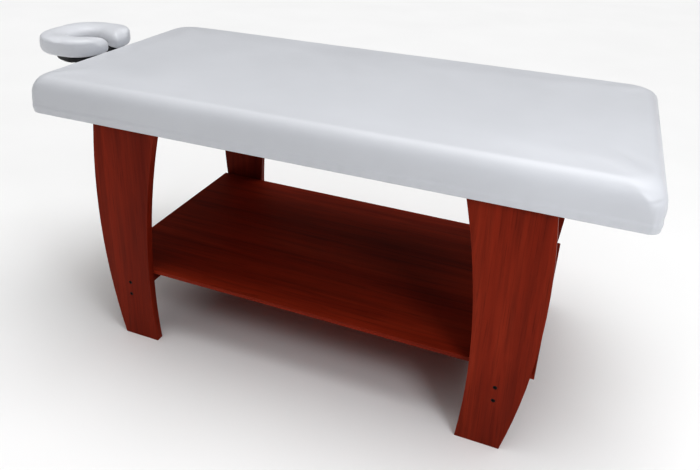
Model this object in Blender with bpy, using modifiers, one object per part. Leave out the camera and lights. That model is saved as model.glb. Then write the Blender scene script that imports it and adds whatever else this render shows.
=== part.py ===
"""Facial treatment bed: fixed upholstered top on four curved board legs, a storage shelf
and a horseshoe face cradle that slides out of the head end and tilts.

Metres, +Z up, floor at Z = 0.  +X points to the foot end, -X to the face cradle.
All sizes below are measured from the middle of the upholstered top; BED_CENTRE_X then
moves the bed so that the world origin is under the middle of the whole object.
"""
import math

import bmesh
import bpy
from mathutils import Matrix

# ---------------------------------------------------------------- driving dimensions
BED_CENTRE_X = 0.1365
FIT = 0.0003                    # gap between pieces that touch

TOP_LENGTH = 1.830
TOP_WIDTH = 0.860
TOP_HEIGHT = 0.890
TOP_UNDERSIDE = 0.769
TOP_CORNER_RADIUS = 0.0286
TOP_EDGE_RADIUS = 0.028
COVER_THICKNESS = 0.0022
COVER_TURN_UNDER_LONG = 0.0228
COVER_TURN_UNDER_END = 0.0230

RAIL_THICKNESS = 0.020
RAIL_OUTER_Y = 0.427
RAIL_OUTER_X = 0.9115
RAIL_BOTTOM = 0.7715
RAIL_TOP = 0.8165
DECK_THICKNESS = 0.009
BRACE_X = 0.300
BRACE_HEIGHT = 0.040

LEG_THICKNESS = 0.025
LEG_OUTER_Y = RAIL_OUTER_Y - RAIL_THICKNESS - FIT
LEG_INNER_Y = LEG_OUTER_Y - LEG_THICKNESS
LEG_TOP = RAIL_TOP
LEG_OUTER_EDGE = (0.6405, 0.7030, 0.6820)   # X at the floor, half way up and at the top
LEG_INNER_EDGE = (0.5127, 0.5211, 0.4540)
LEG_STEPS = 14

SHELF_HALF_LENGTH = 0.7016
SHELF_TOP = 0.265
SHELF_THICKNESS = 0.016
SHELF_RAIL_X = 0.606
SHELF_RAIL_HEIGHT = 0.100
SHELF_RAIL_THICKNESS = 0.022

LEG_SCREW_Z = {"upper": 0.208, "lower": 0.163}
LEG_SCREW_HEAD_RADIUS = 0.0060
LEG_SCREW_HEAD_LENGTH = 0.0060
LEG_SCREW_SHANK_RADIUS = 0.0030
LEG_SCREW_LENGTH = 0.060
LEG_SCREW_RECESS = 0.0070
LEG_BOLT_X = {"inner": 0.520, "outer": 0.620}
LEG_BOLT_Z = 0.794
LEG_BOLT_HEAD_RADIUS = 0.0080
LEG_BOLT_HEAD_LENGTH = 0.0040
LEG_BOLT_SHANK_RADIUS = 0.0040
LEG_BOLT_LENGTH = 0.037

POST_RADIUS = 0.0060
POST_Y = 0.1016
POST_Z = 0.794
POST_TIP_X = -0.8100
SOCKET_OUTER_RADIUS = 0.0090
SOCKET_BORE_RADIUS = 0.00606
SOCKET_FLANGE_RADIUS = 0.0140
SOCKET_FLANGE_THICKNESS = 0.0015
SOCKET_LENGTH = 0.090

HINGE_X = -0.955
HINGE_Z = 0.831
HINGE_ROD_RADIUS = 0.0050
CROSSBAR_SIZE = (0.020, 0.220, 0.016)
BRACKET_Y = 0.1070
BRACKET_THICKNESS = 0.005
KNUCKLE_Y = 0.0985
KNUCKLE_WIDTH = 0.010
CAM_Y = -0.1207

PLATFORM_UNDERSIDE = 0.845
PLATFORM_THICKNESS = 0.015
PAD_THICKNESS = 0.0014
CUSHION_BOTTOM = 0.862
CUSHION_TOP = 0.930
CUSHION_EDGE_RADIUS = 0.020
CUSHION_HEAD_X = -1.188
CUSHION_TABLE_X = -0.920
CUSHION_HALF_WIDTH = 0.163
FACE_HOLE_HALF_WIDTH = 0.055
FACE_HOLE_HEAD_X = -1.080
SUPPORT_BAR_HEAD_X = -1.054
SUPPORT_BAR_WIDTH = 0.020
SUPPORT_BAR_THICKNESS = 0.008
FACE_SLIT_HALF_WIDTH = 0.018
FACE_SLIT_LENGTH = 0.035
FACE_THROAT_X = -1.035

ROUND_SIDES = 32

# ---------------------------------------------------------------- scene and materials
for old in list(bpy.data.objects):
    bpy.data.objects.remove(old, do_unlink=True)

PARTS = bpy.data.collections.new("facial_treatment_bed")
CUTTERS = bpy.data.collections.new("cutters")
bpy.context.scene.collection.children.link(PARTS)
bpy.context.scene.collection.children.link(CUTTERS)

ROOT = bpy.data.objects.new("bed_origin", None)
ROOT.location = (BED_CENTRE_X, 0.0, 0.0)
PARTS.objects.link(ROOT)


def make_material(name, colour, roughness, metallic=0.0):
    mat = bpy.data.materials.new(name)
    mat.use_nodes = True
    shader = mat.node_tree.nodes["Principled BSDF"]
    shader.inputs["Base Color"].default_value = (colour[0], colour[1], colour[2], 1.0)
    shader.inputs["Roughness"].default_value = roughness
    shader.inputs["Metallic"].default_value = metallic
    mat.diffuse_color = (colour[0], colour[1], colour[2], 1.0)
    return mat


WHITE_VINYL = make_material("white_vinyl", (0.72, 0.74, 0.77), 0.42)
FOAM = make_material("foam", (0.80, 0.76, 0.60), 0.95)
MAHOGANY = make_material("mahogany_stained_wood", (0.130, 0.016, 0.008), 0.38)
PLYWOOD = make_material("plywood", (0.52, 0.36, 0.20), 0.70)
PINE = make_material("pine", (0.60, 0.44, 0.26), 0.65)
BLACK_SCREW = make_material("blackened_steel", (0.015, 0.012, 0.012), 0.45, 0.9)
ZINC = make_material("zinc_plated_steel", (0.60, 0.60, 0.58), 0.35, 1.0)
GREY_STEEL = make_material("grey_painted_steel", (0.16, 0.17, 0.15), 0.45, 0.2)
BLACK_PLASTIC = make_material("black_plastic", (0.012, 0.012, 0.012), 0.55)
HOOK_LOOP = make_material("hook_and_loop", (0.02, 0.02, 0.02), 0.95)


# ---------------------------------------------------------------- helpers
def finish(obj, mat, collection=PARTS):
    """Give the object its material and collection, and hang it on the bed's origin."""
    for owner in list(obj.users_collection):
        owner.objects.unlink(obj)
    collection.objects.link(obj)
    if mat is not None:
        obj.data.materials.clear()
        obj.data.materials.append(mat)
    obj.parent = ROOT
    if collection is CUTTERS:
        obj.hide_render = True
        obj.display_type = 'WIRE'
    return obj


def shade_round(obj):
    obj.data.shade_smooth()
    obj.data.set_sharp_from_angle(angle=math.radians(35))
    return obj


def mesh_object(name, bm):
    mesh = bpy.data.meshes.new(name)
    bm.normal_update()
    bm.to_mesh(mesh)
    bm.free()
    return bpy.data.objects.new(name, mesh)


def box(name, low, high, mat, edge=0.0, collection=PARTS):
    """A box between two corners, its edges eased by a Bevel."""
    bm = bmesh.new()
    bmesh.ops.create_cube(bm, size=1.0)
    size = [high[i] - low[i] for i in range(3)]
    bmesh.ops.scale(bm, vec=size, verts=bm.verts)
    obj = mesh_object(name, bm)
    obj.location = [(high[i] + low[i]) / 2 for i in range(3)]
    finish(obj, mat, collection)
    if edge > 0.0:
        bevel = obj.modifiers.new("eased_edges", 'BEVEL')
        bevel.width = edge
        bevel.segments = 1
    return obj


AXIS_TURN = {
    "X": Matrix.Rotation(math.radians(90), 4, 'Y'),
    "Y": Matrix.Rotation(math.radians(-90), 4, 'X'),
    "Z": Matrix.Identity(4),
}


def cylinder(name, radius, length, centre, axis, mat, sides=ROUND_SIDES, collection=PARTS):
    bm = bmesh.new()
    bmesh.ops.create_cone(bm, cap_ends=True, segments=sides,
                          radius1=radius, radius2=radius, depth=length)
    bmesh.ops.transform(bm, matrix=AXIS_TURN[axis], verts=bm.verts)
    obj = mesh_object(name, bm)
    obj.location = centre
    finish(obj, mat, collection)
    return shade_round(obj)


def boolean(obj, cutter, operation='DIFFERENCE'):
    mod = obj.modifiers.new(operation.lower() + "_" + cutter.name, 'BOOLEAN')
    mod.operation = operation
    mod.object = cutter
    mod.solver = 'EXACT'
    return mod


def drill(obj, name, radius, length, centre, axis, sides=ROUND_SIDES):
    cutter = cylinder(name, radius, length, centre, axis, None, sides, CUTTERS)
    boolean(obj, cutter)
    return cutter


def turned(name, profile, location, turn, mat, sides=ROUND_SIDES):
    """A profile of (radius, height) points, listed from top to bottom, turned about Z."""
    bm = bmesh.new()
    points = [bm.verts.new((r, 0.0, h)) for r, h in profile]
    for first, second in zip(points, points[1:]):
        bm.edges.new((first, second))
    obj = mesh_object(name, bm)
    obj.data.transform(Matrix.Identity(4))
    obj.location = location
    obj.rotation_euler = turn
    finish(obj, mat)
    screw = obj.modifiers.new("turned", 'SCREW')
    screw.axis = 'Z'
    screw.steps = sides
    screw.render_steps = sides
    screw.use_merge_vertices = True
    screw.merge_threshold = 0.00005
    screw.use_smooth_shade = True
    return obj


def rounded_slab(name, half_x, half_y, z0, z1, corner, top_edge, bottom_edge, mat,
                 collection=PARTS):
    """A slab with rounded plan corners and rounded top and bottom edges."""
    bm = bmesh.new()
    bmesh.ops.create_cube(bm, size=1.0)
    bmesh.ops.scale(bm, vec=(2 * half_x, 2 * half_y, z1 - z0), verts=bm.verts)
    upright = [e for e in bm.edges if abs(e.verts[0].co.z - e.verts[1].co.z) > 1e-6]
    bmesh.ops.bevel(bm, geom=upright, offset=corner, offset_type='OFFSET', segments=6,
                    profile=0.5, affect='EDGES')
    half_z = (z1 - z0) / 2
    for level, radius, steps in ((half_z, top_edge, 6), (-half_z, bottom_edge, 3)):
        if radius <= 0.0:
            continue
        rim = [e for e in bm.edges
               if abs(e.verts[0].co.z - level) < 1e-6 and abs(e.verts[1].co.z - level) < 1e-6]
        bmesh.ops.bevel(bm, geom=rim, offset=radius, offset_type='OFFSET', segments=steps,
                        profile=0.5, affect='EDGES')
    bmesh.ops.remove_doubles(bm, verts=bm.verts, dist=0.00002)
    obj = mesh_object(name, bm)
    obj.location = (0.0, 0.0, (z0 + z1) / 2)
    finish(obj, mat, collection)
    return shade_round(obj)


def outline_solid(name, points, thickness, location, mat, edge=0.0, rotation=(0, 0, 0)):
    """A flat outline with thickness, as a filled 2D curve turned into a closed mesh."""
    curve = bpy.data.curves.new(name, 'CURVE')
    curve.dimensions = '2D'
    curve.fill_mode = 'BOTH'
    curve.extrude = thickness / 2 - edge
    curve.bevel_depth = edge
    curve.bevel_resolution = 2 if edge > 0.0 else 0
    curve.offset = -edge
    spline = curve.splines.new('POLY')
    spline.points.add(len(points) - 1)
    for point, (px, py) in zip(spline.points, points):
        point.co = (px, py, 0.0, 1.0)
    spline.use_cyclic_u = True
    guide = bpy.data.objects.new(name + "_outline", curve)
    CUTTERS.objects.link(guide)
    bpy.context.view_layer.update()
    mesh = bpy.data.meshes.new_from_object(guide.evaluated_get(
        bpy.context.evaluated_depsgraph_get()))
    bm = bmesh.new()
    bm.from_mesh(mesh)
    bmesh.ops.remove_doubles(bm, verts=bm.verts, dist=0.00002)
    bmesh.ops.recalc_face_normals(bm, faces=bm.faces)
    bm.to_mesh(mesh)
    bm.free()
    mesh.name = name
    bpy.data.objects.remove(guide, do_unlink=True)
    obj = bpy.data.objects.new(name, mesh)
    obj.location = location
    obj.rotation_euler = rotation
    finish(obj, mat)
    return shade_round(obj)


def fillet(corners, step_degrees=12.0):
    """A closed outline with each (x, y, radius) corner replaced by an arc."""
    outline = []
    count = len(corners)
    for i, (x, y, radius) in enumerate(corners):
        ax, ay = corners[i - 1][0] - x, corners[i - 1][1] - y
        bx, by = corners[(i + 1) % count][0] - x, corners[(i + 1) % count][1] - y
        al, bl = math.hypot(ax, ay), math.hypot(bx, by)
        ax, ay, bx, by = ax / al, ay / al, bx / bl, by / bl
        half = math.acos(max(-1.0, min(1.0, ax * bx + ay * by))) / 2
        reach = radius / math.tan(half)
        mx, my = ax + bx, ay + by
        ml = math.hypot(mx, my)
        cx = x + mx / ml * radius / math.sin(half)
        cy = y + my / ml * radius / math.sin(half)
        start = math.atan2(y + ay * reach - cy, x + ax * reach - cx)
        end = math.atan2(y + by * reach - cy, x + bx * reach - cx)
        sweep = (end - start + math.pi) % (2 * math.pi) - math.pi
        steps = max(2, round(abs(math.degrees(sweep)) / step_degrees))
        for k in range(steps + 1):
            angle = start + sweep * k / steps
            outline.append((cx + radius * math.cos(angle), cy + radius * math.sin(angle)))
    return outline


def arc_x(edge, z):
    """X of a leg's edge at height z: a flat arc through its foot, middle and top."""
    foot, middle, top = edge
    t = z / LEG_TOP
    chord = foot + (top - foot) * t
    rise = middle - (foot + top) / 2
    return chord + rise * 4 * t * (1 - t)


# ---------------------------------------------------------------- upholstered top
def build_top():
    half_x = TOP_LENGTH / 2
    half_y = TOP_WIDTH / 2
    cover = rounded_slab("vinyl_cover", half_x, half_y, TOP_UNDERSIDE, TOP_HEIGHT,
                         TOP_CORNER_RADIUS, TOP_EDGE_RADIUS, 0.0020, WHITE_VINYL)
    t = COVER_THICKNESS
    cavity = rounded_slab("cover_cavity", half_x - t, half_y - t, TOP_UNDERSIDE + t,
                          TOP_HEIGHT - t, TOP_CORNER_RADIUS - 0.001, TOP_EDGE_RADIUS - t, 0.0,
                          None, CUTTERS)
    boolean(cover, cavity)
    mouth = box("cover_mouth",
                (-half_x + COVER_TURN_UNDER_END, -half_y + COVER_TURN_UNDER_LONG, 0.760),
                (half_x - COVER_TURN_UNDER_END, half_y - COVER_TURN_UNDER_LONG, 0.800),
                None, 0.0, CUTTERS)
    boolean(cover, mouth)
    for side, sign in (("front", -1), ("back", 1)):
        drill(cover, "cover_post_hole_" + side, SOCKET_OUTER_RADIUS + FIT, 0.030,
              (-half_x, sign * POST_Y, POST_Z), "X")

    deck_bottom = RAIL_TOP + FIT
    deck_top = deck_bottom + DECK_THICKNESS
    rounded_slab("deck_board", RAIL_OUTER_X, RAIL_OUTER_Y, deck_bottom, deck_top,
                 TOP_CORNER_RADIUS, 0.0, 0.0, PLYWOOD)
    rounded_slab("foam_core", RAIL_OUTER_X, RAIL_OUTER_Y, deck_top + FIT,
                 TOP_HEIGHT - t - FIT, TOP_CORNER_RADIUS, TOP_EDGE_RADIUS - 0.0022, 0.0, FOAM)

    limit = rounded_slab("frame_outline", RAIL_OUTER_X, RAIL_OUTER_Y, 0.700, 0.860,
                         TOP_CORNER_RADIUS, 0.0, 0.0, None, CUTTERS)
    for side, sign in (("front", -1), ("back", 1)):
        inner = RAIL_OUTER_Y - RAIL_THICKNESS
        y0, y1 = sorted((sign * RAIL_OUTER_Y * 1.02, sign * inner))
        rail = box("side_rail_" + side, (-0.950, y0, RAIL_BOTTOM), (0.950, y1, RAIL_TOP), PINE)
        boolean(rail, limit, 'INTERSECT')
        for end, x_sign in (("head", -1), ("foot", 1)):
            for place, x in LEG_BOLT_X.items():
                drill(rail, "rail_hole_" + side + "_" + end + "_" + place,
                      LEG_BOLT_SHANK_RADIUS + FIT, 0.026,
                      (x_sign * x, sign * inner, LEG_BOLT_Z), "Y", 16)

    half = RAIL_OUTER_Y - RAIL_THICKNESS - FIT
    for end, x_sign in (("head", -1), ("foot", 1)):
        x0, x1 = sorted((x_sign * RAIL_OUTER_X, x_sign * (RAIL_OUTER_X - RAIL_THICKNESS)))
        rail = box("end_rail_" + end, (x0, -half, RAIL_BOTTOM), (x1, half, RAIL_TOP), PINE)
        if end == "head":
            for side, sign in (("front", -1), ("back", 1)):
                drill(rail, "rail_socket_hole_" + side, SOCKET_OUTER_RADIUS + FIT, 0.040,
                      ((x0 + x1) / 2, sign * POST_Y, POST_Z), "X")
        box("cross_brace_" + end,
            (x_sign * BRACE_X - 0.010, -half, RAIL_TOP - BRACE_HEIGHT),
            (x_sign * BRACE_X + 0.010, half, RAIL_TOP), PINE, 0.001)


# ---------------------------------------------------------------- legs, shelf, fastenings
def leg_outline():
    outer = []
    inner = []
    for i in range(LEG_STEPS + 1):
        z = LEG_TOP * i / LEG_STEPS
        outer.append((arc_x(LEG_OUTER_EDGE, z), z))
        inner.append((arc_x(LEG_INNER_EDGE, z), z))
    return outer + inner[::-1]


def build_legs():
    for end, x_sign in (("head", -1), ("foot", 1)):
        for side, y_sign in (("front", -1), ("back", 1)):
            points = [(x_sign * px, pz) for px, pz in leg_outline()]
            place = end + "_" + side
            middle_y = y_sign * (LEG_OUTER_Y + LEG_INNER_Y) / 2
            leg = outline_solid("leg_" + place, points, LEG_THICKNESS, (0.0, middle_y, 0.0),
                                MAHOGANY, 0.0, (math.radians(90), 0.0, 0.0))
            for level, z in LEG_SCREW_Z.items():
                x = x_sign * SHELF_RAIL_X
                drill(leg, "leg_screw_hole_" + place + "_" + level,
                      LEG_SCREW_SHANK_RADIUS + FIT, 0.060, (x, middle_y, z), "Y", 16)
                drill(leg, "leg_screw_recess_" + place + "_" + level,
                      LEG_SCREW_HEAD_RADIUS + FIT, 2 * LEG_SCREW_RECESS,
                      (x, y_sign * LEG_OUTER_Y, z), "Y", 16)
                leg_screw("leg_screw_" + place + "_" + level, x, y_sign, z)
            for spot, x in LEG_BOLT_X.items():
                drill(leg, "leg_bolt_hole_" + place + "_" + spot,
                      LEG_BOLT_SHANK_RADIUS + FIT, 0.060, (x_sign * x, middle_y, LEG_BOLT_Z),
                      "Y", 16)
                leg_bolt("leg_bolt_" + place + "_" + spot, x_sign * x, y_sign)


def leg_screw(name, x, y_sign, z):
    """A socket screw sunk in the leg's outer face, its shank in the shelf rail's end."""
    head = LEG_SCREW_HEAD_LENGTH
    profile = [(0.0, 0.0), (LEG_SCREW_HEAD_RADIUS, 0.0), (LEG_SCREW_HEAD_RADIUS, -head),
               (LEG_SCREW_SHANK_RADIUS, -head), (LEG_SCREW_SHANK_RADIUS, -LEG_SCREW_LENGTH),
               (0.0, -LEG_SCREW_LENGTH - 0.002)]
    y = y_sign * (LEG_OUTER_Y - (LEG_SCREW_RECESS - FIT - head))
    turn = (math.radians(90 if y_sign < 0 else -90), 0.0, 0.0)
    screw = turned(name, profile, (x, y, z), turn, BLACK_SCREW, 16)
    socket = cylinder("socket_" + name, 0.0032, 0.006, (x, y, z), "Y", None, 6, CUTTERS)
    boolean(screw, socket)


def leg_bolt(name, x, y_sign):
    """A round-headed bolt from the leg's inner face into the side rail."""
    head = LEG_BOLT_HEAD_LENGTH
    profile = [(0.0, head), (LEG_BOLT_HEAD_RADIUS * 0.6, head * 0.85),
               (LEG_BOLT_HEAD_RADIUS, 0.0), (LEG_BOLT_SHANK_RADIUS, 0.0),
               (LEG_BOLT_SHANK_RADIUS, -LEG_BOLT_LENGTH + 0.001), (0.0, -LEG_BOLT_LENGTH)]
    y = y_sign * (LEG_INNER_Y - FIT)
    turn = (math.radians(-90 if y_sign < 0 else 90), 0.0, 0.0)
    turned(name, profile, (x, y, LEG_BOLT_Z), turn, ZINC, 16)


def build_shelf():
    half_y = LEG_INNER_Y - FIT
    bottom = SHELF_TOP - SHELF_THICKNESS
    box("shelf", (-SHELF_HALF_LENGTH, -half_y, bottom), (SHELF_HALF_LENGTH, half_y, SHELF_TOP),
        MAHOGANY, 0.0012)
    for end, x_sign in (("head", -1), ("foot", 1)):
        x = x_sign * SHELF_RAIL_X
        half = SHELF_RAIL_THICKNESS / 2
        rail = box("shelf_rail_" + end, (x - half, -half_y, bottom - FIT - SHELF_RAIL_HEIGHT),
                   (x + half, half_y, bottom - FIT), MAHOGANY, 0.0012)
        for side, y_sign in (("front", -1), ("back", 1)):
            for level, z in LEG_SCREW_Z.items():
                drill(rail, "shelf_rail_hole_" + end + "_" + side + "_" + level,
                      LEG_SCREW_SHANK_RADIUS + FIT, 0.090, (x, y_sign * half_y, z), "Y", 16)


# ---------------------------------------------------------------- face cradle
def build_cradle_frame():
    for side, sign in (("front", -1), ("back", 1)):
        start = -TOP_LENGTH / 2 - FIT - SOCKET_FLANGE_THICKNESS
        profile = [(SOCKET_BORE_RADIUS, 0.0), (SOCKET_FLANGE_RADIUS, 0.0),
                   (SOCKET_FLANGE_RADIUS, -SOCKET_FLANGE_THICKNESS),
                   (SOCKET_OUTER_RADIUS, -SOCKET_FLANGE_THICKNESS),
                   (SOCKET_OUTER_RADIUS, -SOCKET_LENGTH),
                   (SOCKET_BORE_RADIUS, -SOCKET_LENGTH), (SOCKET_BORE_RADIUS, 0.0)]
        turned("post_socket_" + side, profile, (start, sign * POST_Y, POST_Z),
               (0.0, math.radians(-90), 0.0), ZINC)
        bar_face = HINGE_X + CROSSBAR_SIZE[0] / 2 + FIT
        length = POST_TIP_X - bar_face
        profile = [(0.0, length), (POST_RADIUS - 0.0015, length),
                   (POST_RADIUS, length - 0.0015), (POST_RADIUS, 0.0), (0.0, 0.0)]
        turned("cradle_post_" + side, profile, (bar_face, sign * POST_Y, POST_Z),
               (0.0, math.radians(90), 0.0), ZINC)

    half = [s / 2 for s in CROSSBAR_SIZE]
    box("cradle_crossbar", (HINGE_X - half[0], -half[1], POST_Z - half[2]),
        (HINGE_X + half[0], half[1], POST_Z + half[2]), GREY_STEEL, 0.0015)

    bar_top = POST_Z + half[2] + FIT
    for side, sign in (("front", -1), ("back", 1)):
        y = sign * BRACKET_Y
        bracket = box("hinge_bracket_" + side, (HINGE_X - 0.011, y - 0.0025, bar_top),
                      (HINGE_X + 0.011, y + 0.0025, HINGE_Z), GREY_STEEL)
        eye = cylinder("bracket_eye_" + side, 0.011, BRACKET_THICKNESS, (HINGE_X, y, HINGE_Z),
                       "Y", None, ROUND_SIDES, CUTTERS)
        boolean(bracket, eye, 'UNION')
        trim = box("bracket_trim_" + side, (HINGE_X - 0.020, y - 0.010, bar_top - 0.020),
                   (HINGE_X + 0.020, y + 0.010, bar_top), None, 0.0, CUTTERS)
        boolean(bracket, trim)
        drill(bracket, "bracket_bore_" + side, HINGE_ROD_RADIUS + FIT, 0.020,
              (HINGE_X, y, HINGE_Z), "Y")

    rod_end = CAM_Y - 0.0055
    rod_head = BRACKET_Y + BRACKET_THICKNESS / 2 + FIT
    profile = [(0.0, rod_head + 0.004), (0.008, rod_head + 0.004), (0.008, rod_head),
               (HINGE_ROD_RADIUS, rod_head), (HINGE_ROD_RADIUS, rod_end), (0.0, rod_end)]
    rod = turned("hinge_rod", profile, (HINGE_X, 0.0, HINGE_Z), (math.radians(-90), 0.0, 0.0),
                 ZINC)
    drill(rod, "rod_pin_hole", 0.0028, 0.030, (HINGE_X, CAM_Y, HINGE_Z), "X", 24)
    cylinder("cam_pin", 0.0025, 0.0156, (HINGE_X, CAM_Y, HINGE_Z), "X", ZINC, 24)


def build_cam_lever():
    """Quick-release lever, its origin on the pin through the end of the hinge rod."""
    lever = cylinder("cam_lever", 0.010, 0.016, (HINGE_X, CAM_Y, HINGE_Z), "X", BLACK_PLASTIC)
    arm = box("lever_arm", (HINGE_X - 0.0055, CAM_Y - 0.0030, HINGE_Z - 0.066),
              (HINGE_X + 0.0055, CAM_Y + 0.0030, HINGE_Z - 0.0085), None, 0.0020, CUTTERS)
    boolean(lever, arm, 'UNION')
    slot = box("lever_slot", (HINGE_X - 0.0053, CAM_Y - 0.020, HINGE_Z - 0.0082),
               (HINGE_X + 0.0053, CAM_Y + 0.020, HINGE_Z + 0.020), None, 0.0, CUTTERS)
    boolean(lever, slot)
    drill(lever, "lever_bore", 0.0026, 0.030, (HINGE_X, CAM_Y, HINGE_Z), "X", 24)


def horseshoe(inset, widen, head_inset):
    """Plan of the cradle: a horseshoe, its slit towards the table."""
    head = CUSHION_HEAD_X + head_inset
    table = CUSHION_TABLE_X - inset
    half = CUSHION_HALF_WIDTH - inset
    hole = FACE_HOLE_HALF_WIDTH + widen
    slit = FACE_SLIT_HALF_WIDTH + widen
    neck = table - FACE_SLIT_LENGTH
    throat = FACE_THROAT_X - widen
    hole_head = FACE_HOLE_HEAD_X - widen
    side_round = 0.098 - inset
    head_round = min(0.130, half - 0.006)
    return fillet([
        (table, slit, 0.014), (table, half, side_round), (head, half, head_round),
        (head, -half, head_round), (table, -half, side_round), (table, -slit, 0.014),
        (neck, -slit, 0.050), (throat, -hole, 0.030), (hole_head, -hole, 0.036),
        (hole_head, hole, 0.036), (throat, hole, 0.030), (neck, slit, 0.050)])


def on_hinge(points):
    return [(px - HINGE_X, py) for px, py in points]


def build_cradle_platform():
    """Everything that tilts, with its origins on the hinge line."""
    top = PLATFORM_UNDERSIDE + PLATFORM_THICKNESS
    outline_solid("cradle_platform", on_hinge(horseshoe(0.028, 0.010, 0.050)), PLATFORM_THICKNESS,
                  (HINGE_X, 0.0, (PLATFORM_UNDERSIDE + top) / 2), BLACK_PLASTIC, 0.002)
    outline_solid("hook_loop_pad", on_hinge(horseshoe(0.036, 0.016, 0.058)), PAD_THICKNESS,
                  (HINGE_X, 0.0, top + FIT + PAD_THICKNESS / 2), HOOK_LOOP)
    outline_solid("face_cushion", on_hinge(horseshoe(0.0, 0.0, 0.0)), CUSHION_TOP - CUSHION_BOTTOM,
                  (HINGE_X, 0.0, (CUSHION_TOP + CUSHION_BOTTOM) / 2), WHITE_VINYL,
                  CUSHION_EDGE_RADIUS)
    for side, sign in (("front", -1), ("back", 1)):
        y = sign * KNUCKLE_Y
        knuckle = box("hinge_knuckle_" + side,
                      (HINGE_X - 0.0085, y - KNUCKLE_WIDTH / 2, HINGE_Z),
                      (HINGE_X + 0.0085, y + KNUCKLE_WIDTH / 2, PLATFORM_UNDERSIDE - FIT),
                      GREY_STEEL)
        eye = cylinder("knuckle_eye_" + side, 0.0085, KNUCKLE_WIDTH, (HINGE_X, y, HINGE_Z), "Y",
                       None, ROUND_SIDES, CUTTERS)
        boolean(knuckle, eye, 'UNION')
        drill(knuckle, "knuckle_bore_" + side, HINGE_ROD_RADIUS + 0.0001, 0.020,
              (HINGE_X, y, HINGE_Z), "Y")
        bar_top = PLATFORM_UNDERSIDE - FIT
        box("support_bar_" + side,
            (SUPPORT_BAR_HEAD_X, y - SUPPORT_BAR_WIDTH / 2, bar_top - SUPPORT_BAR_THICKNESS),
            (HINGE_X - 0.0118, y + SUPPORT_BAR_WIDTH / 2, bar_top), GREY_STEEL, 0.001)


build_top()
build_legs()
build_shelf()
build_cradle_frame()
build_cam_lever()
build_cradle_platform()
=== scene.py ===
"""Visual model of a facial treatment bed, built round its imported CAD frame."""
import math
import random

import bmesh
import bpy
from mathutils import Matrix, Vector, noise
from mathutils.kdtree import KDTree


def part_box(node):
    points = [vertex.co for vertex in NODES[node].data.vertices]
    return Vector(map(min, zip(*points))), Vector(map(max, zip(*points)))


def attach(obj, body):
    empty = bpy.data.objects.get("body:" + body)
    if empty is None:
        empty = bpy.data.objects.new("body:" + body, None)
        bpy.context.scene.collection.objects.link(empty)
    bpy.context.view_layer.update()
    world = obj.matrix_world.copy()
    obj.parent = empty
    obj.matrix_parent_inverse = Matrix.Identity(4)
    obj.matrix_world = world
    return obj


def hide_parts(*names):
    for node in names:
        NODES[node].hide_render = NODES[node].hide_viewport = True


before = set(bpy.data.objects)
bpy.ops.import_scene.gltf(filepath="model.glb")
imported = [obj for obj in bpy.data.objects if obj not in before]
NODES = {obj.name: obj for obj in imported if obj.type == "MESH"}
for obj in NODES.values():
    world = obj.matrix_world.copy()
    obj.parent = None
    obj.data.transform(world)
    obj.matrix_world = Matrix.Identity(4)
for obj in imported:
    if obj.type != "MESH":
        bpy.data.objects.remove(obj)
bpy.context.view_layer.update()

# The bed's own sizes, read from the frame.
COVER_LOW, COVER_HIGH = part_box("vinyl_cover")
MID_X = (COVER_LOW[0] + COVER_HIGH[0]) / 2
HALF_LENGTH = (COVER_HIGH[0] - COVER_LOW[0]) / 2
HALF_WIDTH = (COVER_HIGH[1] - COVER_LOW[1]) / 2
PAD_BOTTOM = COVER_LOW[2]
PAD_TOP = COVER_HIGH[2]


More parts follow.
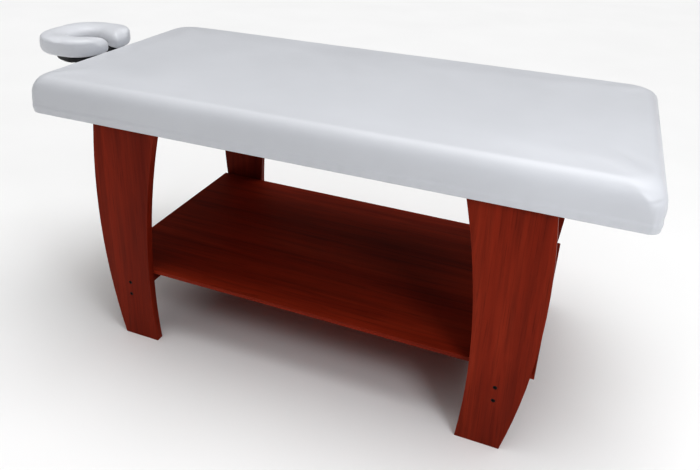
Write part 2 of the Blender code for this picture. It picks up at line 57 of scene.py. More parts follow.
# ---------------------------------------------------------------- node helpers
class Graph:
    """A small wrapper that adds nodes to a material and links them."""

    def __init__(self, name):
        self.material = bpy.data.materials.new(name)
        self.material.use_nodes = True
        self.tree = self.material.node_tree
        self.shader = self.tree.nodes["Principled BSDF"]
        self.coords = self.tree.nodes.new("ShaderNodeTexCoord")

    def link(self, source, target):
        self.tree.links.new(source, target)

    def mapped(self, scale, rotation=(0, 0, 0)):
        node = self.tree.nodes.new("ShaderNodeMapping")
        node.inputs["Scale"].default_value = scale
        node.inputs["Rotation"].default_value = rotation
        self.link(self.coords.outputs["Object"], node.inputs["Vector"])
        return node.outputs["Vector"]

    def noise(self, vector, scale, detail=4.0, rough=0.5, distortion=0.0):
        node = self.tree.nodes.new("ShaderNodeTexNoise")
        node.inputs["Scale"].default_value = scale
        node.inputs["Detail"].default_value = detail
        node.inputs["Roughness"].default_value = rough
        node.inputs["Distortion"].default_value = distortion
        self.link(vector, node.inputs["Vector"])
        return node.outputs["Fac"]

    def voronoi(self, vector, scale, feature='F1'):
        node = self.tree.nodes.new("ShaderNodeTexVoronoi")
        node.feature = feature
        node.inputs["Scale"].default_value = scale
        self.link(vector, node.inputs["Vector"])
        return node.outputs["Distance"]

    def wave(self, vector, scale, distortion, detail, direction):
        node = self.tree.nodes.new("ShaderNodeTexWave")
        node.bands_direction = direction
        node.inputs["Scale"].default_value = scale
        node.inputs["Distortion"].default_value = distortion
        node.inputs["Detail"].default_value = detail
        node.inputs["Detail Scale"].default_value = 1.5
        self.link(vector, node.inputs["Vector"])
        return node.outputs["Fac"]

    def ramp(self, factor, stops):
        node = self.tree.nodes.new("ShaderNodeValToRGB")
        ramp = node.color_ramp
        while len(ramp.elements) < len(stops):
            ramp.elements.new(0.5)
        for element, (place, colour) in zip(ramp.elements, stops):
            element.position = place
            if isinstance(colour, (int, float)):
                colour = (colour, colour, colour)
            element.color = (*colour, 1.0)
        self.link(factor, node.inputs["Fac"])
        return node.outputs["Color"]

    def mix(self, factor, first, second, blend='MIX'):
        """Each input may be a socket of another node, a number or a colour."""
        node = self.tree.nodes.new("ShaderNodeMix")
        node.data_type = 'RGBA'
        node.blend_type = blend
        for socket, value in ((node.inputs[0], factor), (node.inputs[6], first),
                              (node.inputs[7], second)):
            if isinstance(value, bpy.types.NodeSocket):
                self.link(value, socket)
            elif isinstance(value, (int, float)):
                socket.default_value = value
            else:
                socket.default_value = (*value, 1.0)
        return node.outputs[2]

    def math(self, operation, first, second):
        node = self.tree.nodes.new("ShaderNodeMath")
        node.operation = operation
        for socket, value in ((node.inputs[0], first), (node.inputs[1], second)):
            if isinstance(value, bpy.types.NodeSocket):
                self.link(value, socket)
            else:
                socket.default_value = value
        return node.outputs[0]

    def bump(self, height, strength, distance, normal=None):
        node = self.tree.nodes.new("ShaderNodeBump")
        node.inputs["Strength"].default_value = strength
        node.inputs["Distance"].default_value = distance
        self.link(height, node.inputs["Height"])
        if normal is not None:
            self.link(normal, node.inputs["Normal"])
        return node.outputs["Normal"]

    def finish(self, colour, roughness, normal=None, metallic=0.0, **sockets):
        """Sets the shader; further sockets are named with _ where their name has a space."""
        for name, value in (("Base Color", colour), ("Roughness", roughness)):
            if isinstance(value, bpy.types.NodeSocket):
                self.link(value, self.shader.inputs[name])
            elif isinstance(value, (int, float)):
                self.shader.inputs[name].default_value = value
            else:
                self.shader.inputs[name].default_value = (*value, 1.0)
        if normal is not None:
            self.link(normal, self.shader.inputs["Normal"])
        self.shader.inputs["Metallic"].default_value = metallic
        for name, value in sockets.items():
            self.shader.inputs[name.replace("_", " ")].default_value = value
        return self.material


# ---------------------------------------------------------------- materials
def vinyl_material(name, tone):
    """White upholstery vinyl: fine pebbled grain, faint mottling and a soft sheen."""
    g = Graph(name)
    place = g.mapped((1, 1, 1))
    soft = g.noise(place, 2.2, 3.0, 0.5)
    colour = g.ramp(soft, [(0.30, (0.610 * tone, 0.622 * tone, 0.655 * tone)),
                           (0.70, (0.650 * tone, 0.663 * tone, 0.698 * tone))])
    grain = g.voronoi(place, 900.0, 'SMOOTH_F1')
    pores = g.noise(place, 420.0, 3.0, 0.55)
    ripple = g.noise(place, 9.0, 2.0, 0.45)
    roughness = g.ramp(g.noise(place, 14.0, 4.0, 0.6), [(0.25, 0.36), (0.75, 0.46)])
    normal = g.bump(ripple, 0.25, 0.004)
    normal = g.bump(pores, 0.12, 0.0004, normal)
    normal = g.bump(grain, 0.16, 0.0003, normal)
    return g.finish(colour, roughness, normal, IOR=1.47, Sheen_Weight=0.04,
                    Coat_Weight=0.06, Coat_Roughness=0.35)


def mahogany_material(name, along, tone=1.0):
    """Red-brown stained wood with streaky figure and fine dark pores along one axis."""
    g = Graph(name)
    fine = [70.0, 70.0, 70.0]
    fine[along] = 2.2
    broad = [9.0, 9.0, 9.0]
    broad[along] = 0.55
    pore_scale = [330.0, 330.0, 330.0]
    pore_scale[along] = 9.0
    streak = g.noise(g.mapped(fine), 1.0, 5.0, 0.6, 0.4)
    figure = g.noise(g.mapped(broad, (0.03, 0.05, 0.02)), 1.0, 4.0, 0.55, 0.9)
    pores = g.noise(g.mapped(pore_scale), 1.0, 2.0, 0.5)
    dark = (0.170 * tone, 0.0150 * tone, 0.0050 * tone)
    middle = (0.245 * tone, 0.0250 * tone, 0.0085 * tone)
    light = (0.330 * tone, 0.0410 * tone, 0.0150 * tone)
    base = g.ramp(figure, [(0.30, dark), (0.52, middle), (0.74, light)])
    lines = g.ramp(streak, [(0.30, 0.62), (0.55, 1.0), (0.80, 1.16)])
    base = g.mix(0.75, base, lines, 'MULTIPLY')
    spots = g.ramp(pores, [(0.30, 0.45), (0.42, 1.0)])
    base = g.mix(0.55, base, spots, 'MULTIPLY')
    roughness = g.ramp(streak, [(0.25, 0.42), (0.80, 0.54)])
    normal = g.bump(streak, 0.16, 0.0006)
    normal = g.bump(pores, 0.22, 0.0003, normal)
    return g.finish(base, roughness, normal, IOR=1.5, Specular_IOR_Level=0.08)


def raw_wood_material(name, along):
    """Unfinished pine with its grain along one axis."""
    pale = (0.40, 0.28, 0.15)
    brown = (0.24, 0.15, 0.07)
    g = Graph(name)
    scale = [55.0, 55.0, 55.0]
    scale[along] = 1.6
    streak = g.noise(g.mapped(scale), 1.0, 4.0, 0.6, 0.6)
    patch = g.noise(g.mapped((3, 3, 3)), 1.0, 2.0, 0.5)
    colour = g.ramp(streak, [(0.32, brown), (0.70, pale)])
    colour = g.mix(g.math('MULTIPLY', patch, 0.35), colour, brown)
    normal = g.bump(streak, 0.35, 0.0008)
    return g.finish(colour, 0.7, normal)


def plywood_material():
    """Dull brown face grain along X, with thin plies at the edges."""
    g = Graph("birch_plywood")
    face = g.noise(g.mapped((2.0, 40.0, 40.0)), 1.0, 4.0, 0.6, 0.8)
    plies = g.wave(g.mapped((0.1, 0.1, 330.0)), 1.0, 0.4, 1.0, 'Z')
    colour = g.ramp(face, [(0.30, (0.17, 0.10, 0.05)), (0.72, (0.30, 0.20, 0.11))])
    colour = g.mix(0.25, colour, g.ramp(plies, [(0.2, 0.55), (0.8, 1.0)]), 'MULTIPLY')
    return g.finish(colour, 0.72, g.bump(face, 0.3, 0.0006))


def metal_material(name, colour, rough, brushed=(400.0, 30.0, 400.0), metallic=1.0):
    """Plated or blackened steel with fine drawn lines and a patchy tone."""
    g = Graph(name)
    lines = g.noise(g.mapped(brushed), 1.0, 3.0, 0.6)
    patch = g.noise(g.mapped((60, 60, 60)), 1.0, 3.0, 0.6)
    darker = tuple(c * 0.72 for c in colour)
    tint = g.ramp(patch, [(0.35, darker), (0.65, colour)])
    roughness = g.ramp(lines, [(0.3, rough * 0.8), (0.7, min(1.0, rough * 1.25))])
    return g.finish(tint, roughness, g.bump(lines, 0.12, 0.0002), metallic)


def painted_material(name, colour, rough):
    """Semi-matt paint with a slight orange-peel surface and rubbed high spots."""
    g = Graph(name)
    peel = g.noise(g.mapped((1, 1, 1)), 260.0, 2.0, 0.5)
    rub = g.noise(g.mapped((1, 1, 1)), 45.0, 5.0, 0.7)
    lighter = tuple(min(1.0, c * 1.7 + 0.02) for c in colour)
    tint = g.ramp(rub, [(0.55, colour), (0.80, lighter)])
    roughness = g.ramp(rub, [(0.3, rough), (0.8, rough * 0.75)])
    return g.finish(tint, roughness, g.bump(peel, 0.15, 0.0004))


def plastic_material(name, colour, rough):
    """Moulded plastic with a fine spark-eroded texture."""
    g = Graph(name)
    grain = g.noise(g.mapped((1, 1, 1)), 900.0, 2.0, 0.6)
    haze = g.noise(g.mapped((1, 1, 1)), 30.0, 3.0, 0.6)
    tint = g.ramp(haze, [(0.3, colour), (0.8, tuple(c * 1.5 + 0.003 for c in colour))])
    roughness = g.ramp(haze, [(0.3, rough), (0.7, min(1.0, rough * 1.2))])
    return g.finish(tint, roughness, g.bump(grain, 0.3, 0.0003))


def loop_tape_material():
    """Black woven tape with a fuzzy nap."""
    g = Graph("loop_tape")
    fuzz = g.voronoi(g.mapped((1, 1, 1)), 1100.0)
    nap = g.noise(g.mapped((1, 1, 1)), 250.0, 4.0, 0.7)
    tint = g.ramp(nap, [(0.3, (0.010, 0.010, 0.011)), (0.7, (0.045, 0.045, 0.048))])
    return g.finish(tint, 0.95, g.bump(fuzz, 0.8, 0.0008), Sheen_Weight=0.4)


def foam_material():
    """Yellowed upholstery foam with small open cells."""
    g = Graph("open_cell_foam")
    cells = g.voronoi(g.mapped((1, 1, 1)), 700.0)
    tone = g.noise(g.mapped((1, 1, 1)), 6.0, 3.0, 0.6)
    tint = g.ramp(tone, [(0.3, (0.66, 0.58, 0.38)), (0.7, (0.80, 0.74, 0.54))])
    return g.finish(tint, 0.95, g.bump(cells, 0.6, 0.001))


VINYL = vinyl_material("white_vinyl_upholstery", 1.0)
# The face rest's vinyl is a brighter copy of the top's: partly a whiter cover, partly painted light
# that stands in for more light on the cushion's near side.
CRADLE_VINYL = vinyl_material("white_vinyl_face_rest", 1.12)
LEG_WOOD = mahogany_material("mahogany_leg", 2, 0.98)
SHELF_WOOD = mahogany_material("mahogany_shelf", 0, 1.0)
RAIL_WOOD = mahogany_material("mahogany_rail", 1, 0.7)
PINE_LONG = raw_wood_material("pine_long_rail", 0)
PINE_CROSS = raw_wood_material("pine_cross_rail", 1)
PLYWOOD = plywood_material()
FOAM = foam_material()
ZINC = metal_material("zinc_plate", (0.62, 0.62, 0.60), 0.34)
BLACK_STEEL = metal_material("black_oxide_steel", (0.020, 0.017, 0.016), 0.5,
                             (200, 200, 200), 0.8)
GREY_PAINT = painted_material("grey_green_paint", (0.150, 0.160, 0.135), 0.42)
BLACK_PLASTIC = plastic_material("black_moulding", (0.010, 0.010, 0.011), 0.5)
LOOP_TAPE = loop_tape_material()

# The first prefix that a CAD node's name starts with decides its material.
NODE_MATERIALS = [
    ("leg_screw", BLACK_STEEL), ("leg_bolt", ZINC), ("leg_", LEG_WOOD),
    ("shelf_rail", RAIL_WOOD), ("shelf", SHELF_WOOD), ("side_rail", PINE_LONG),
    ("end_rail", PINE_CROSS), ("cross_brace", PINE_CROSS), ("deck_board", PLYWOOD),
    ("post_socket", ZINC), ("cradle_post", ZINC), ("hinge_rod", ZINC), ("cam_pin", ZINC),
    ("cradle_crossbar", GREY_PAINT), ("hinge_bracket", GREY_PAINT),
    ("hinge_knuckle", GREY_PAINT), ("support_bar", GREY_PAINT),
    ("cradle_platform", BLACK_PLASTIC), ("cam_lever", BLACK_PLASTIC),
    ("hook_loop_pad", LOOP_TAPE),
]

# The same rule gives the width of the eased edges in metres; 0 leaves a node as it is.
EASED = [("side_rail", 0.0035), ("end_rail", 0.0035), ("leg_screw", 0.0), ("leg_bolt", 0.0004),
         ("leg_", 0.0022), ("shelf_rail", 0.0015), ("shelf", 0.0016), ("cross_brace", 0.0015),
         ("deck_board", 0.0008), ("cradle_crossbar", 0.0012), ("hinge_bracket", 0.0006),
         ("hinge_knuckle", 0.0006), ("support_bar", 0.0010), ("cradle_platform", 0.0016),
         ("cam_lever", 0.0008), ("post_socket", 0.0004)]


def chosen(table, name):
    """The value beside the first prefix in the table that fits the name, or None."""
    return next((value for prefix, value in table if name.startswith(prefix)), None)


def ease_edges():
    for name, obj in NODES.items():
        width = chosen(EASED, name)
        if width:
            weld = obj.modifiers.new("joined_corners", 'WELD')
            weld.merge_threshold = 0.00002
            bevel = obj.modifiers.new("eased_edges", 'BEVEL')
            bevel.width = width
            bevel.segments = 3
            bevel.limit_method = 'ANGLE'
            bevel.angle_limit = math.radians(40)
            even = obj.modifiers.new("even_shading", 'WEIGHTED_NORMAL')
            even.weight = 80


def dress_cad_nodes():
    for name, obj in NODES.items():
        material = chosen(NODE_MATERIALS, name)
        if material:
            obj.data.materials.clear()
            obj.data.materials.append(material)


# ---------------------------------------------------------------- mesh helpers
CLOTH_PRESSURE = 4.0
CLOTH_FRAMES = 20


def link_object(name, mesh, material):
    obj = bpy.data.objects.new(name, mesh)
    bpy.context.scene.collection.objects.link(obj)
    obj.data.materials.clear()
    obj.data.materials.append(material)
    return obj


def apply_modifiers(obj):
    """Bakes the modifiers into a new mesh, so that none is left on the piece."""
    graph = bpy.context.evaluated_depsgraph_get()
    graph.update()
    mesh = bpy.data.meshes.new_from_object(obj.evaluated_get(graph))
    old = obj.data
    obj.modifiers.clear()
    obj.data = mesh
    bpy.data.meshes.remove(old)


def voxel_remesh(obj, size):
    mod = obj.modifiers.new("remesh", 'REMESH')
    mod.mode = 'VOXEL'
    mod.voxel_size = size
    mod.use_smooth_shade = True
    apply_modifiers(obj)


def relax(obj, factor, repeat):
    mod = obj.modifiers.new("relax", 'SMOOTH')
    mod.factor = factor
    mod.iterations = repeat
    apply_modifiers(obj)


def subdivide(obj):
    mod = obj.modifiers.new("smooth", 'SUBSURF')
    mod.levels = 1
    mod.render_levels = 1
    apply_modifiers(obj)


def inflate(obj, cap, pinned, stiffness, bending):
    """Cloth under pressure, with how far a point may move capped, left as plain vertices."""
    start = [v.co.copy() for v in obj.data.vertices]
    group = obj.vertex_groups.new(name="pin")
    group.add([i for i, co in enumerate(start) if pinned(co)], 1.0, 'REPLACE')
    cloth = obj.modifiers.new("cloth", 'CLOTH')
    settings = cloth.settings
    settings.quality = 5
    settings.mass = 0.3
    settings.tension_stiffness = stiffness
    settings.compression_stiffness = stiffness
    settings.shear_stiffness = 5.0
    settings.bending_stiffness = bending
    settings.use_pressure = True
    settings.uniform_pressure_force = CLOTH_PRESSURE
    settings.effector_weights.gravity = 0.0
    settings.vertex_group_mass = "pin"
    cloth.point_cache.frame_start = 1
    cloth.point_cache.frame_end = CLOTH_FRAMES
    scene = bpy.context.scene
    for step in range(1, CLOTH_FRAMES + 1):
        scene.frame_set(step)
    apply_modifiers(obj)
    for vertex, before in zip(obj.data.vertices, start):
        move = vertex.co - before
        if move.length > cap:
            vertex.co = before + move.normalized() * cap
    scene.frame_set(1)
    obj.vertex_groups.clear()


def smoothstep(low, high, value):
    t = max(0.0, min(1.0, (value - low) / (high - low)))
    return t * t * (3 - 2 * t)


# ---------------------------------------------------------------- padded top
SIDE_STEPS_LONG = 120        # points along a long side, a short side and a corner of each level
SIDE_STEPS_SHORT = 56
CORNER_STEPS = 12
TOP_EDGE = 0.038             # how far in, and how far down, the top's rounded edge reaches
TOP_DROP = 0.060
BOTTOM_EDGE = 0.0055
SIDE_BULGE = 0.0050
TOP_CROWN = 0.0030
BASE_CORNER = 0.030          # corner radius round the rails, and how much wider it is at the top
CORNER_GROWTH = 0.045
CORNER_START = 0.020         # height over the bottom where the corners start to widen
HEAD_FRONT_CORNER = 0.040    # this one corner is pulled tighter at the top than the others
STRIP_INSET = 0.0213         # the turned-in vinyl ends here, just clear of the legs
SHEET_THICKNESS = 0.0011
PAD_SWELL = 0.0035
FOAM_SHRINK = 0.0075
PULL_DEPTH = 0.0022
FOLD_DEPTH = 0.0003
CREASE_DEPTH = 0.0012


def ring_points(half_x, half_y, radius, z):
    """One level of the pad: a rectangle with rounded corners, always with the same count of points."""
    radius = max(0.002, min(radius, half_x - 0.001, half_y - 0.001))
    corners = ((1, 1, 0), (-1, 1, 90), (-1, -1, 180), (1, -1, 270))
    radii = {(sx, sy): radius for sx, sy, _ in corners}
    radii[(-1, -1)] = min(radius, HEAD_FRONT_CORNER)
    points = []
    for index, (sx, sy, turn) in enumerate(corners):
        own = radii[(sx, sy)]
        cx, cy = sx * (half_x - own), sy * (half_y - own)
        for k in range(CORNER_STEPS + 1):
            angle = math.radians(turn + 90 * k / CORNER_STEPS)
            points.append((cx + own * math.cos(angle), cy + own * math.sin(angle), z))
        nx, ny, _ = corners[(index + 1) % 4]
        other = radii[(nx, ny)]
        end_angle = math.radians(turn + 90)
        ax, ay = cx + own * math.cos(end_angle), cy + own * math.sin(end_angle)
        bx = nx * (half_x - other) + other * math.cos(end_angle)
        by = ny * (half_y - other) + other * math.sin(end_angle)
        steps = SIDE_STEPS_LONG if index % 2 == 0 else SIDE_STEPS_SHORT
        for k in range(1, steps):
            t = k / steps
            points.append((ax + (bx - ax) * t, ay + (by - ay) * t, z))
    return points


def pad_levels(shrink):
    """(inset, height, corner radius) from the turned-in strip underneath to the middle of the top."""
    bottom = PAD_BOTTOM + shrink
    top = PAD_TOP - shrink

    def corner_at(z):
        """Tight round the rails, and wider and wider towards the top of the foam."""
        t = max(0.0, (z - bottom - CORNER_START) / (top - bottom - CORNER_START))
        return BASE_CORNER + CORNER_GROWTH * t ** 1.5

    levels = [(0.0460, bottom, 0.016), (0.0280, bottom, 0.016),
              (STRIP_INSET, bottom, 0.016), (0.0146, bottom, 0.022)]
    for k in range(5):
        a = math.radians(90 * k / 4)
        levels.append((BOTTOM_EDGE * (1 - math.sin(a)), bottom + BOTTOM_EDGE * (1 - math.cos(a)),
                       BASE_CORNER))
    side_low, side_high = bottom + BOTTOM_EDGE, top - TOP_DROP
    for k in range(1, 9):
        t = k / 9
        bulge = SIDE_BULGE * math.sin(0.5 * math.pi * t)
        z = side_low + (side_high - side_low) * t
        levels.append((-bulge, z, corner_at(z)))
    for k in range(15):
        a = math.radians(90 * k / 14)
        z = side_high + TOP_DROP * math.sin(a)
        inset = TOP_EDGE * (1 - math.cos(a)) - SIDE_BULGE * math.cos(a)
        levels.append((inset, z, corner_at(z)))
    inset = TOP_EDGE
    while inset < 0.100:
        inset += 0.012
        crown = TOP_CROWN * smoothstep(TOP_EDGE, 0.20, inset)
        levels.append((inset, top + crown, max(0.02, corner_at(top) - 0.4 * (inset - TOP_EDGE))))
    return [(inset + shrink, z, corner) for inset, z, corner in levels]


def cap_with_grid(bm, ring):
    """Closes the last ring with an even grid that follows all four of its sides."""
    n_long = SIDE_STEPS_LONG + CORNER_STEPS
    n_short = SIDE_STEPS_SHORT + CORNER_STEPS
    start = CORNER_STEPS // 2
    loop = [ring[(start + i) % len(ring)] for i in range(len(ring))] + [ring[start]]
    far = loop[:n_long + 1]
    left = loop[n_long:n_long + n_short + 1]
    near = loop[n_long + n_short:2 * n_long + n_short + 1][::-1]
    right = loop[2 * n_long + n_short:][::-1]
    grid = []
    for i in range(n_long + 1):
        u = i / n_long
        row = []
        for j in range(n_short + 1):
            v = j / n_short
            if j == 0:
                row.append(far[i])
            elif j == n_short:
                row.append(near[i])
            elif i == 0:
                row.append(right[j])
            elif i == n_long:
                row.append(left[j])
            else:
                sides = (far[i].co * (1 - v) + near[i].co * v
                         + right[j].co * (1 - u) + left[j].co * u)
                corners = (far[0].co * (1 - u) * (1 - v) + far[-1].co * u * (1 - v)
                           + near[0].co * (1 - u) * v + near[-1].co * u * v)
                row.append(bm.verts.new(sides - corners))
        grid.append(row)
    for i in range(n_long):
        for j in range(n_short):
            bm.faces.new((grid[i][j], grid[i + 1][j], grid[i + 1][j + 1], grid[i][j + 1]))


def loft_pad(name, shrink, material):
    """The pad's whole outer shape, made smaller all round by shrink."""
    bm = bmesh.new()
    rings = []
    for inset, z, corner in pad_levels(shrink):
        half_x, half_y = HALF_LENGTH - inset, HALF_WIDTH - inset
        rings.append([bm.verts.new((MID_X + x, y, h))
                      for x, y, h in ring_points(half_x, half_y, corner, z)])
    for low, high in zip(rings, rings[1:]):
        count = len(low)
        for i in range(count):
            j = (i + 1) % count
            bm.faces.new((low[i], low[j], high[j], high[i]))
    bm.faces.new(rings[0][::-1])
    bmesh.ops.triangulate(bm, faces=[f for f in bm.faces if len(f.verts) > 4])
    cap_with_grid(bm, rings[-1])
    bmesh.ops.recalc_face_normals(bm, faces=bm.faces)
    mesh = bpy.data.meshes.new(name)
    bm.to_mesh(mesh)
    bm.free()
    return link_object(name, mesh, material)


def pull_marks(seed, length, spacing):
    """Places along an edge where the vinyl is drawn in under the staples."""
    rng = random.Random(seed)
    marks = []
    s = rng.uniform(0.3, 0.7) * spacing
    while s < length:
        marks.append((s, rng.uniform(0.35, 1.0), rng.uniform(0.010, 0.020)))
        s += spacing * rng.uniform(0.65, 1.45)
    return marks


def mark_depth(marks, along):
    """How deep the pull marks are at a place along an edge, from 0 to about 1."""
    return sum(a * math.exp(-((along - s) / w) ** 2)
               for s, a, w in marks if abs(along - s) < 0.06)


def pucker_pad(obj):
    """Pull marks along the lower edges, folds at the corners and a crease at the near foot corner."""
    long_marks = {-1: pull_marks(11, 2 * HALF_LENGTH, 0.062),
                  1: pull_marks(12, 2 * HALF_LENGTH, 0.062)}
    short_marks = {-1: pull_marks(13, 2 * HALF_WIDTH, 0.058),
                   1: pull_marks(14, 2 * HALF_WIDTH, 0.058)}
    height = PAD_TOP - PAD_BOTTOM
    for vertex in obj.data.vertices:
        x, y, z = vertex.co.x - MID_X, vertex.co.y, vertex.co.z
        up = (z - PAD_BOTTOM) / height
        side_y = smoothstep(HALF_WIDTH - 0.030, HALF_WIDTH - 0.006, abs(y))
        side_x = smoothstep(HALF_LENGTH - 0.030, HALF_LENGTH - 0.006, abs(x))
        fade = smoothstep(0.0, 0.07, up) * (1 - smoothstep(0.09, 0.42, up))
        push = Vector((0.0, 0.0, 0.0))
        if side_y > 0.0:
            sign = 1 if y > 0 else -1
            depth = mark_depth(long_marks[sign], x + HALF_LENGTH)
            push.y -= sign * PULL_DEPTH * depth * fade * side_y
        if side_x > 0.0:
            sign = 1 if x > 0 else -1
            depth = mark_depth(short_marks[sign], y + HALF_WIDTH)
            push.x -= sign * PULL_DEPTH * depth * fade * side_x

        corner = Vector((HALF_LENGTH - 0.030 - abs(x), HALF_WIDTH - 0.030 - abs(y)))
        if corner.x < 0.02 and corner.y < 0.02 and up < 0.8:
            angle = math.atan2(-corner.y, -corner.x)
            folds = math.cos(angle * 14 + 2.0 * noise.noise(Vector((x * 9, y * 9, z * 30))))
            strength = smoothstep(0.0, 0.12, up) * (1 - smoothstep(0.20, 0.75, up))
            near = smoothstep(0.02, -0.012, max(corner.x, corner.y))
            outward = Vector((math.copysign(max(-corner.x, 0.0), x),
                              math.copysign(max(-corner.y, 0.0), y), 0.0))
            if outward.length > 1e-6:
                push += outward.normalized() * FOLD_DEPTH * folds * strength * near

        crease = Vector((x - (HALF_LENGTH - 0.016), y + (HALF_WIDTH - 0.012),
                         z - (PAD_TOP - 0.040)))
        if crease.length < 0.06:
            line = crease.z - 0.25 * crease.x + 0.10 * crease.y
            ridge = math.exp(-((line - 0.0075) / 0.005) ** 2)
            groove = math.exp(-(line / 0.0038) ** 2) - 0.55 * ridge
            near = math.exp(-((crease.x ** 2 + crease.y ** 2) / 0.026 ** 2))
            push += Vector((-0.7, 0.7, 0.0)) * CREASE_DEPTH * groove * near

        swell = noise.noise(Vector((x * 2.2, y * 2.2, z * 4.0)))
        push.z += 0.0010 * swell * smoothstep(0.5, 1.0, up)
        vertex.co += push


def open_underside(obj):
    """Leaves only the turned-in strip of vinyl under the pad, and gives the sheet thickness."""
    bm = bmesh.new()
    bm.from_mesh(obj.data)
    inner_x = HALF_LENGTH - STRIP_INSET + 0.0005
    inner_y = HALF_WIDTH - STRIP_INSET + 0.0005
    inside = [face for face in bm.faces
              if all(v.co.z < PAD_BOTTOM + 0.003 and abs(v.co.x - MID_X) < inner_x
                     and abs(v.co.y) < inner_y for v in face.verts)]
    bmesh.ops.delete(bm, geom=inside, context='FACES')
    bm.to_mesh(obj.data)
    bm.free()
    solid = obj.modifiers.new("sheet_thickness", 'SOLIDIFY')
    solid.thickness = SHEET_THICKNESS
    solid.offset = -1.0
    apply_modifiers(obj)


def build_padded_top():
    pad = loft_pad("upholstered_top", 0.0, VINYL)
    inflate(pad, PAD_SWELL, lambda co: co.z < PAD_BOTTOM + 0.024, 25.0, 1.5)
    subdivide(pad)
    pucker_pad(pad)
    open_underside(pad)
    pad.data.shade_smooth()
    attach(pad, "table")
    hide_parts("vinyl_cover")

    core = loft_pad("foam_block", FOAM_SHRINK, FOAM)
    trim_core(core)
    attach(core, "table")
    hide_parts("foam_core")


def trim_core(core):
    """Cuts the foam off flat where it lies on the deck."""
    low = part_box("foam_core")[0][2]
    bm = bmesh.new()
    bm.from_mesh(core.data)
    cut = bmesh.ops.bisect_plane(bm, geom=bm.verts[:] + bm.edges[:] + bm.faces[:],
                                 plane_co=(0, 0, low + 0.0002), plane_no=(0, 0, 1),
                                 clear_inner=True)
    rim = [e for e in cut["geom_cut"] if isinstance(e, bmesh.types.BMEdge)]
    bmesh.ops.contextual_create(bm, geom=rim)
    bmesh.ops.recalc_face_normals(bm, faces=bm.faces)
    bm.to_mesh(core.data)
    bm.free()
    core.data.shade_smooth()
    core.data.set_sharp_from_angle(angle=math.radians(50))


# ---------------------------------------------------------------- face cushion
CROWN_DROP = 0.016
CUSHION_VOXEL = 0.005
CUSHION_SHRINK = 0.0025
CUSHION_SWELL = 0.006
PLEAT_DEPTH = 0.0042
SEAM_UP = 0.70               # height of the seam, as a part of the cushion's height
SEAM_DEPTH = 0.0013
FACE_HOLE_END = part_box("cradle_platform")[0][0] + 0.040   # the hole lies on the table's side of this


def build_face_cushion():
    low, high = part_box("face_cushion")
    centre = Vector(((low[0] + high[0]) / 2, 0.0, (low[2] + high[2]) / 2))
    mesh = NODES["face_cushion"].data.copy()
    cushion = link_object("face_rest_cushion", mesh, CRADLE_VINYL)
    voxel_remesh(cushion, CUSHION_VOXEL)
    normals = [v.normal.copy() for v in cushion.data.vertices]
    for vertex, normal in zip(cushion.data.vertices, normals):
        vertex.co -= normal * CUSHION_SHRINK
    relax(cushion, 0.5, 4)
    crown_cushion(cushion, low[2], high[2])
    inflate(cushion, CUSHION_SWELL, lambda co: co.z < low[2] + 0.010, 15.0, 0.6)
    relax(cushion, 0.5, 2)
    subdivide(cushion)
    gather_cushion(cushion, centre, low, high)
    cushion.data.shade_smooth()
    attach(cushion, "cradle_tilting_part")
    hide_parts("face_cushion")


def crown_cushion(cushion, low_z, high_z):
    """Rolls the top down towards the walls of the face hole."""
    mid_z = (low_z + high_z) / 2
    walls = [v.co for v in cushion.data.vertices
             if abs(v.co.z - mid_z) < 0.010 and abs(v.normal.z) < 0.5
             and abs(v.co.y) < 0.070 and v.co.x > FACE_HOLE_END]
    tree = KDTree(len(walls))
    for index, co in enumerate(walls):
        tree.insert((co.x, co.y, 0.0), index)
    tree.balance()
    for vertex in cushion.data.vertices:
        up = smoothstep(0.30, 0.85, (vertex.co.z - low_z) / (high_z - low_z))
        if up > 0.0:
            _, _, away = tree.find((vertex.co.x, vertex.co.y, 0.0))
            slope = max(0.0, 1.0 - away / 0.052)
            vertex.co.z -= CROWN_DROP * slope ** 1.8 * up


def gather_cushion(cushion, centre, low, high):
    """A seam under the top panel, and pleats round the closed end."""
    height = high[2] - low[2]
    for vertex in cushion.data.vertices:
        dx, dy = vertex.co.x - centre.x, vertex.co.y
        radius = math.hypot(dx, dy)
        angle = math.atan2(dy, -dx)
        closed = smoothstep(1.45, 0.55, abs(angle + 0.12))
        outer = smoothstep(0.100, 0.124, radius)
        up = (vertex.co.z - low[2]) / height
        outward = Vector((dx, dy, 0.0)).normalized()
        wobble = noise.noise(Vector((dx * 14, dy * 14, up * 2.2)))
        wave = math.sin(angle * 46 + 1.8 * wobble)
        uneven = 0.55 + 0.45 * noise.noise(Vector((angle * 3.0, 0.0, 4.0)))
        band = smoothstep(0.0, 0.14, up) * (1 - 0.65 * smoothstep(0.62, 1.0, up))
        fold = (wave * 0.5 - 0.5) * uneven
        depth = PLEAT_DEPTH * closed * outer * band * fold
        groove = math.exp(-((up - SEAM_UP) / 0.040) ** 2)
        edge = smoothstep(0.105, 0.125, radius) * (0.30 + 0.70 * closed)
        depth -= SEAM_DEPTH * groove * edge
        vertex.co += outward * depth
        puff = noise.noise(Vector((dx * 9, dy * 9, up * 3.0)))
        vertex.co.z += 0.0009 * puff * smoothstep(0.75, 1.0, up)
        vertex.co.z = max(vertex.co.z, low[2] + 0.0008)


# ---------------------------------------------------------------- stage, light and camera
FLOOR_GAP = 0.0006
CAMERA_PLACE = (MID_X + 0.7135, -1.9596, 1.5295)
CAMERA_YAW, CAMERA_PITCH, CAMERA_ROLL = -0.373156, -0.394377, 0.034319   # radians
CAMERA_LENS = 35.19
CAMERA_SHIFT = (0.02363, -0.12756)


def link_light(name, data, rotation, location=(0, 0, 0)):
    light = bpy.data.objects.new(name, data)
    light.location = location
    light.rotation_euler = rotation.to_euler()
    bpy.context.scene.collection.objects.link(light)


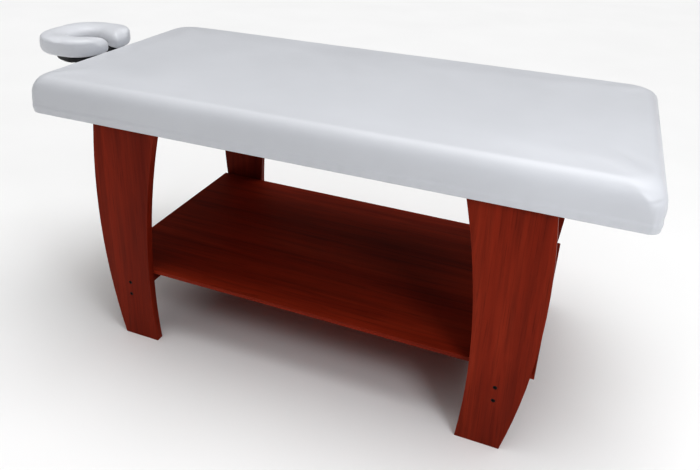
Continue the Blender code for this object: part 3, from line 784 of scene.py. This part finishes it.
def area_light(name, location, target, size, power, colour):
    data = bpy.data.lights.new(name, 'AREA')
    data.shape = 'RECTANGLE'
    data.size, data.size_y = size
    data.energy = power
    data.color = colour
    aim = Vector(target) - Vector(location)
    link_light(name, data, aim.to_track_quat('-Z', 'Y'), location)


def sun_light(name, source, strength, spread):
    """A broad, even light that comes from the direction of source."""
    data = bpy.data.lights.new(name, 'SUN')
    data.energy = strength
    data.angle = math.radians(spread)
    link_light(name, data, Vector(source).to_track_quat('Z', 'Y'))


def build_world():
    """Bright overhead and dimmer towards the horizon, like a studio with a lit ceiling."""
    world = bpy.data.worlds.new("soft_studio")
    world.use_nodes = True
    tree = world.node_tree
    coords = tree.nodes.new("ShaderNodeTexCoord")
    split = tree.nodes.new("ShaderNodeSeparateXYZ")
    ramp = tree.nodes.new("ShaderNodeValToRGB")
    tree.links.new(coords.outputs["Generated"], split.inputs["Vector"])
    tree.links.new(split.outputs["Z"], ramp.inputs["Fac"])
    stops = ((0.0, 0.02), (0.45, 0.08), (0.80, 1.0))
    while len(ramp.color_ramp.elements) < len(stops):
        ramp.color_ramp.elements.new(0.5)
    for element, (place, value) in zip(ramp.color_ramp.elements, stops):
        element.position = place
        element.color = (value, value, value, 1.0)
    background = tree.nodes["Background"]
    tree.links.new(ramp.outputs["Color"], background.inputs["Color"])
    background.inputs["Strength"].default_value = 0.75
    bpy.context.scene.world = world


def build_stage():
    """A plain pale floor and two soft lights."""
    mesh = bpy.data.meshes.new("studio_floor")
    bm = bmesh.new()
    bmesh.ops.create_grid(bm, x_segments=2, y_segments=2, size=40.0)
    bm.to_mesh(mesh)
    bm.free()
    g = Graph("pale_floor")
    soft = g.noise(g.mapped((1, 1, 1)), 1.5, 2.0, 0.5)
    tint = g.ramp(soft, [(0.3, (0.86, 0.86, 0.86)), (0.7, (0.88, 0.88, 0.88))])
    g.finish(tint, 0.8, Specular_IOR_Level=0.1)
    floor = link_object("studio_floor", mesh, g.material)
    floor.location.z = -FLOOR_GAP
    build_world()
    area_light("key_softbox", (1.9, -1.6, 1.9), (0.4, -0.3, 0.5), (0.7, 0.55), 14,
               (0.95, 0.97, 1.0))
    sun_light("overhead_sun", (0.10, 0.10, 1.0), 1.38, 50)


def build_camera():
    """Level yaw and pitch first, then the roll about the line of sight."""
    data = bpy.data.cameras.new("camera")
    camera = bpy.data.objects.new("camera", data)
    bpy.context.scene.collection.objects.link(camera)
    yaw, pitch, roll = CAMERA_YAW, CAMERA_PITCH, CAMERA_ROLL
    forward = Vector((math.sin(yaw) * math.cos(pitch), math.cos(yaw) * math.cos(pitch),
                      math.sin(pitch)))
    right = Vector((math.cos(yaw), -math.sin(yaw), 0.0))
    up = right.cross(forward)
    side = right * math.cos(roll) + up * math.sin(roll)
    top = up * math.cos(roll) - right * math.sin(roll)
    turn = Matrix((side, top, -forward)).transposed().to_4x4()
    camera.matrix_world = Matrix.Translation(CAMERA_PLACE) @ turn
    data.sensor_width = 36.0
    data.lens = CAMERA_LENS
    data.shift_x, data.shift_y = CAMERA_SHIFT
    data.clip_start = 0.05
    data.clip_end = 200.0
    bpy.context.scene.camera = camera


dress_cad_nodes()
ease_edges()
build_padded_top()
build_face_cushion()
build_stage()
build_camera()
bpy.context.scene.view_settings.view_transform = 'Standard'
bpy.context.scene.view_settings.look = 'Medium High Contrast'
